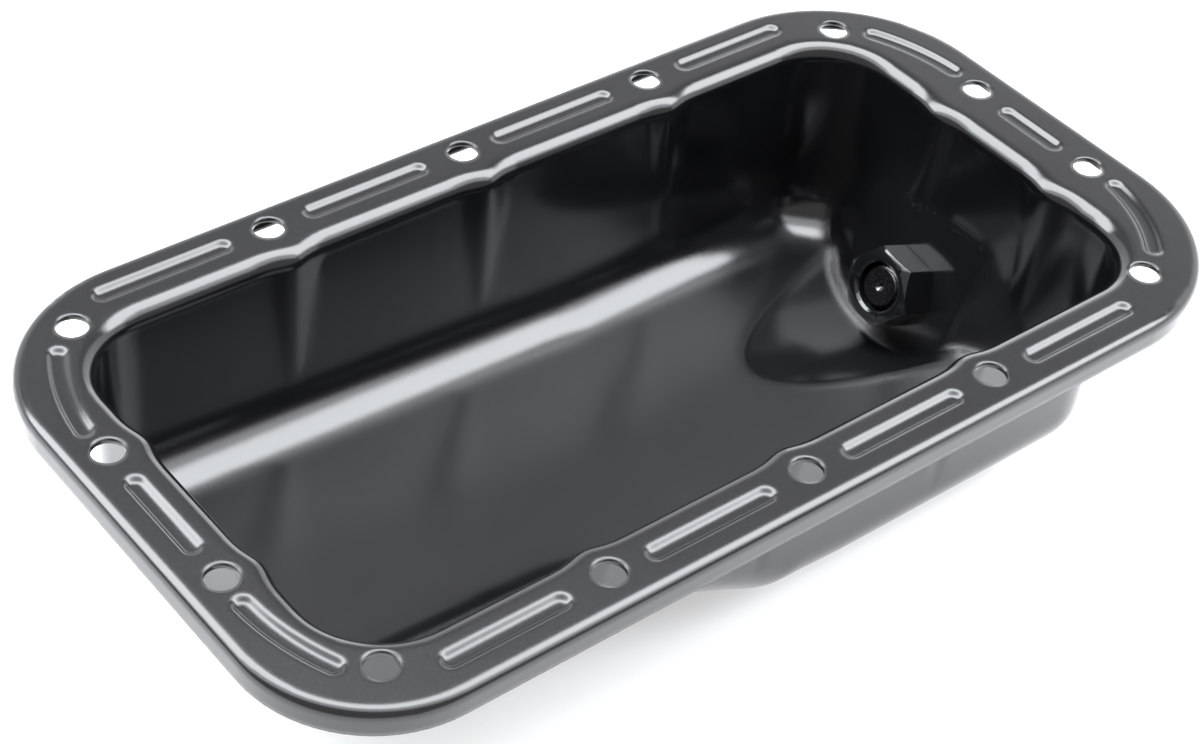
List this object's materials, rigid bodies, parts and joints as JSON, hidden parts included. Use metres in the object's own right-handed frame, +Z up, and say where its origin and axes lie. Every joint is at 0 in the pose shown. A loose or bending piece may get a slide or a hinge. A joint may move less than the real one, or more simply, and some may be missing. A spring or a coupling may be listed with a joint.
{
  "type": "engine oil pan",
  "caption": "Deep-drawn steel engine oil pan with a grooved bolt flange, a turned-down lip, a sloped floor and a drain pocket with weld nut and plug.",
  "frame": {"origin": "under the middle of the flange, at the lowest point of the pan, which is the bottom of its drain scoop", "axes": "+Z up out of the open side, +X towards the drain end, +Y towards the far side"},
  "size_m": [0.258, 0.14, 0.0625],
  "materials": {
    "pan_coating": "semi-gloss black coating",
    "nut_coating": "semi-gloss black coating",
    "plug_steel": "zinc-plated steel",
    "washer_metal": "plain soft aluminium"
  },
  "bodies": {
    "pan_body": {"oil_pan": "pan_coating", "drain_nut": "nut_coating"},
    "washer_body": {"sealing_washer": "washer_metal"},
    "plug_body": {"drain_plug": "plug_steel"}
  },
  "joints": [
    {"name": "plug_travel", "type": "slide", "parent": "pan_body", "child": "washer_body", "axis": [0.9272, 0, -0.3746], "range_m": [0, 0.00875]},
    {"name": "plug_turn", "type": "hinge", "parent": "washer_body", "child": "plug_body", "pos_m": [0.0974, 0.009, 0.01495], "axis": [0.9272, 0, -0.3746], "range_deg": [0, 1830]}
  ],
  "couplings": [
    {"joint": "plug_turn", "follows": "plug_travel", "rad_per_m": 3590.4}
  ]
}
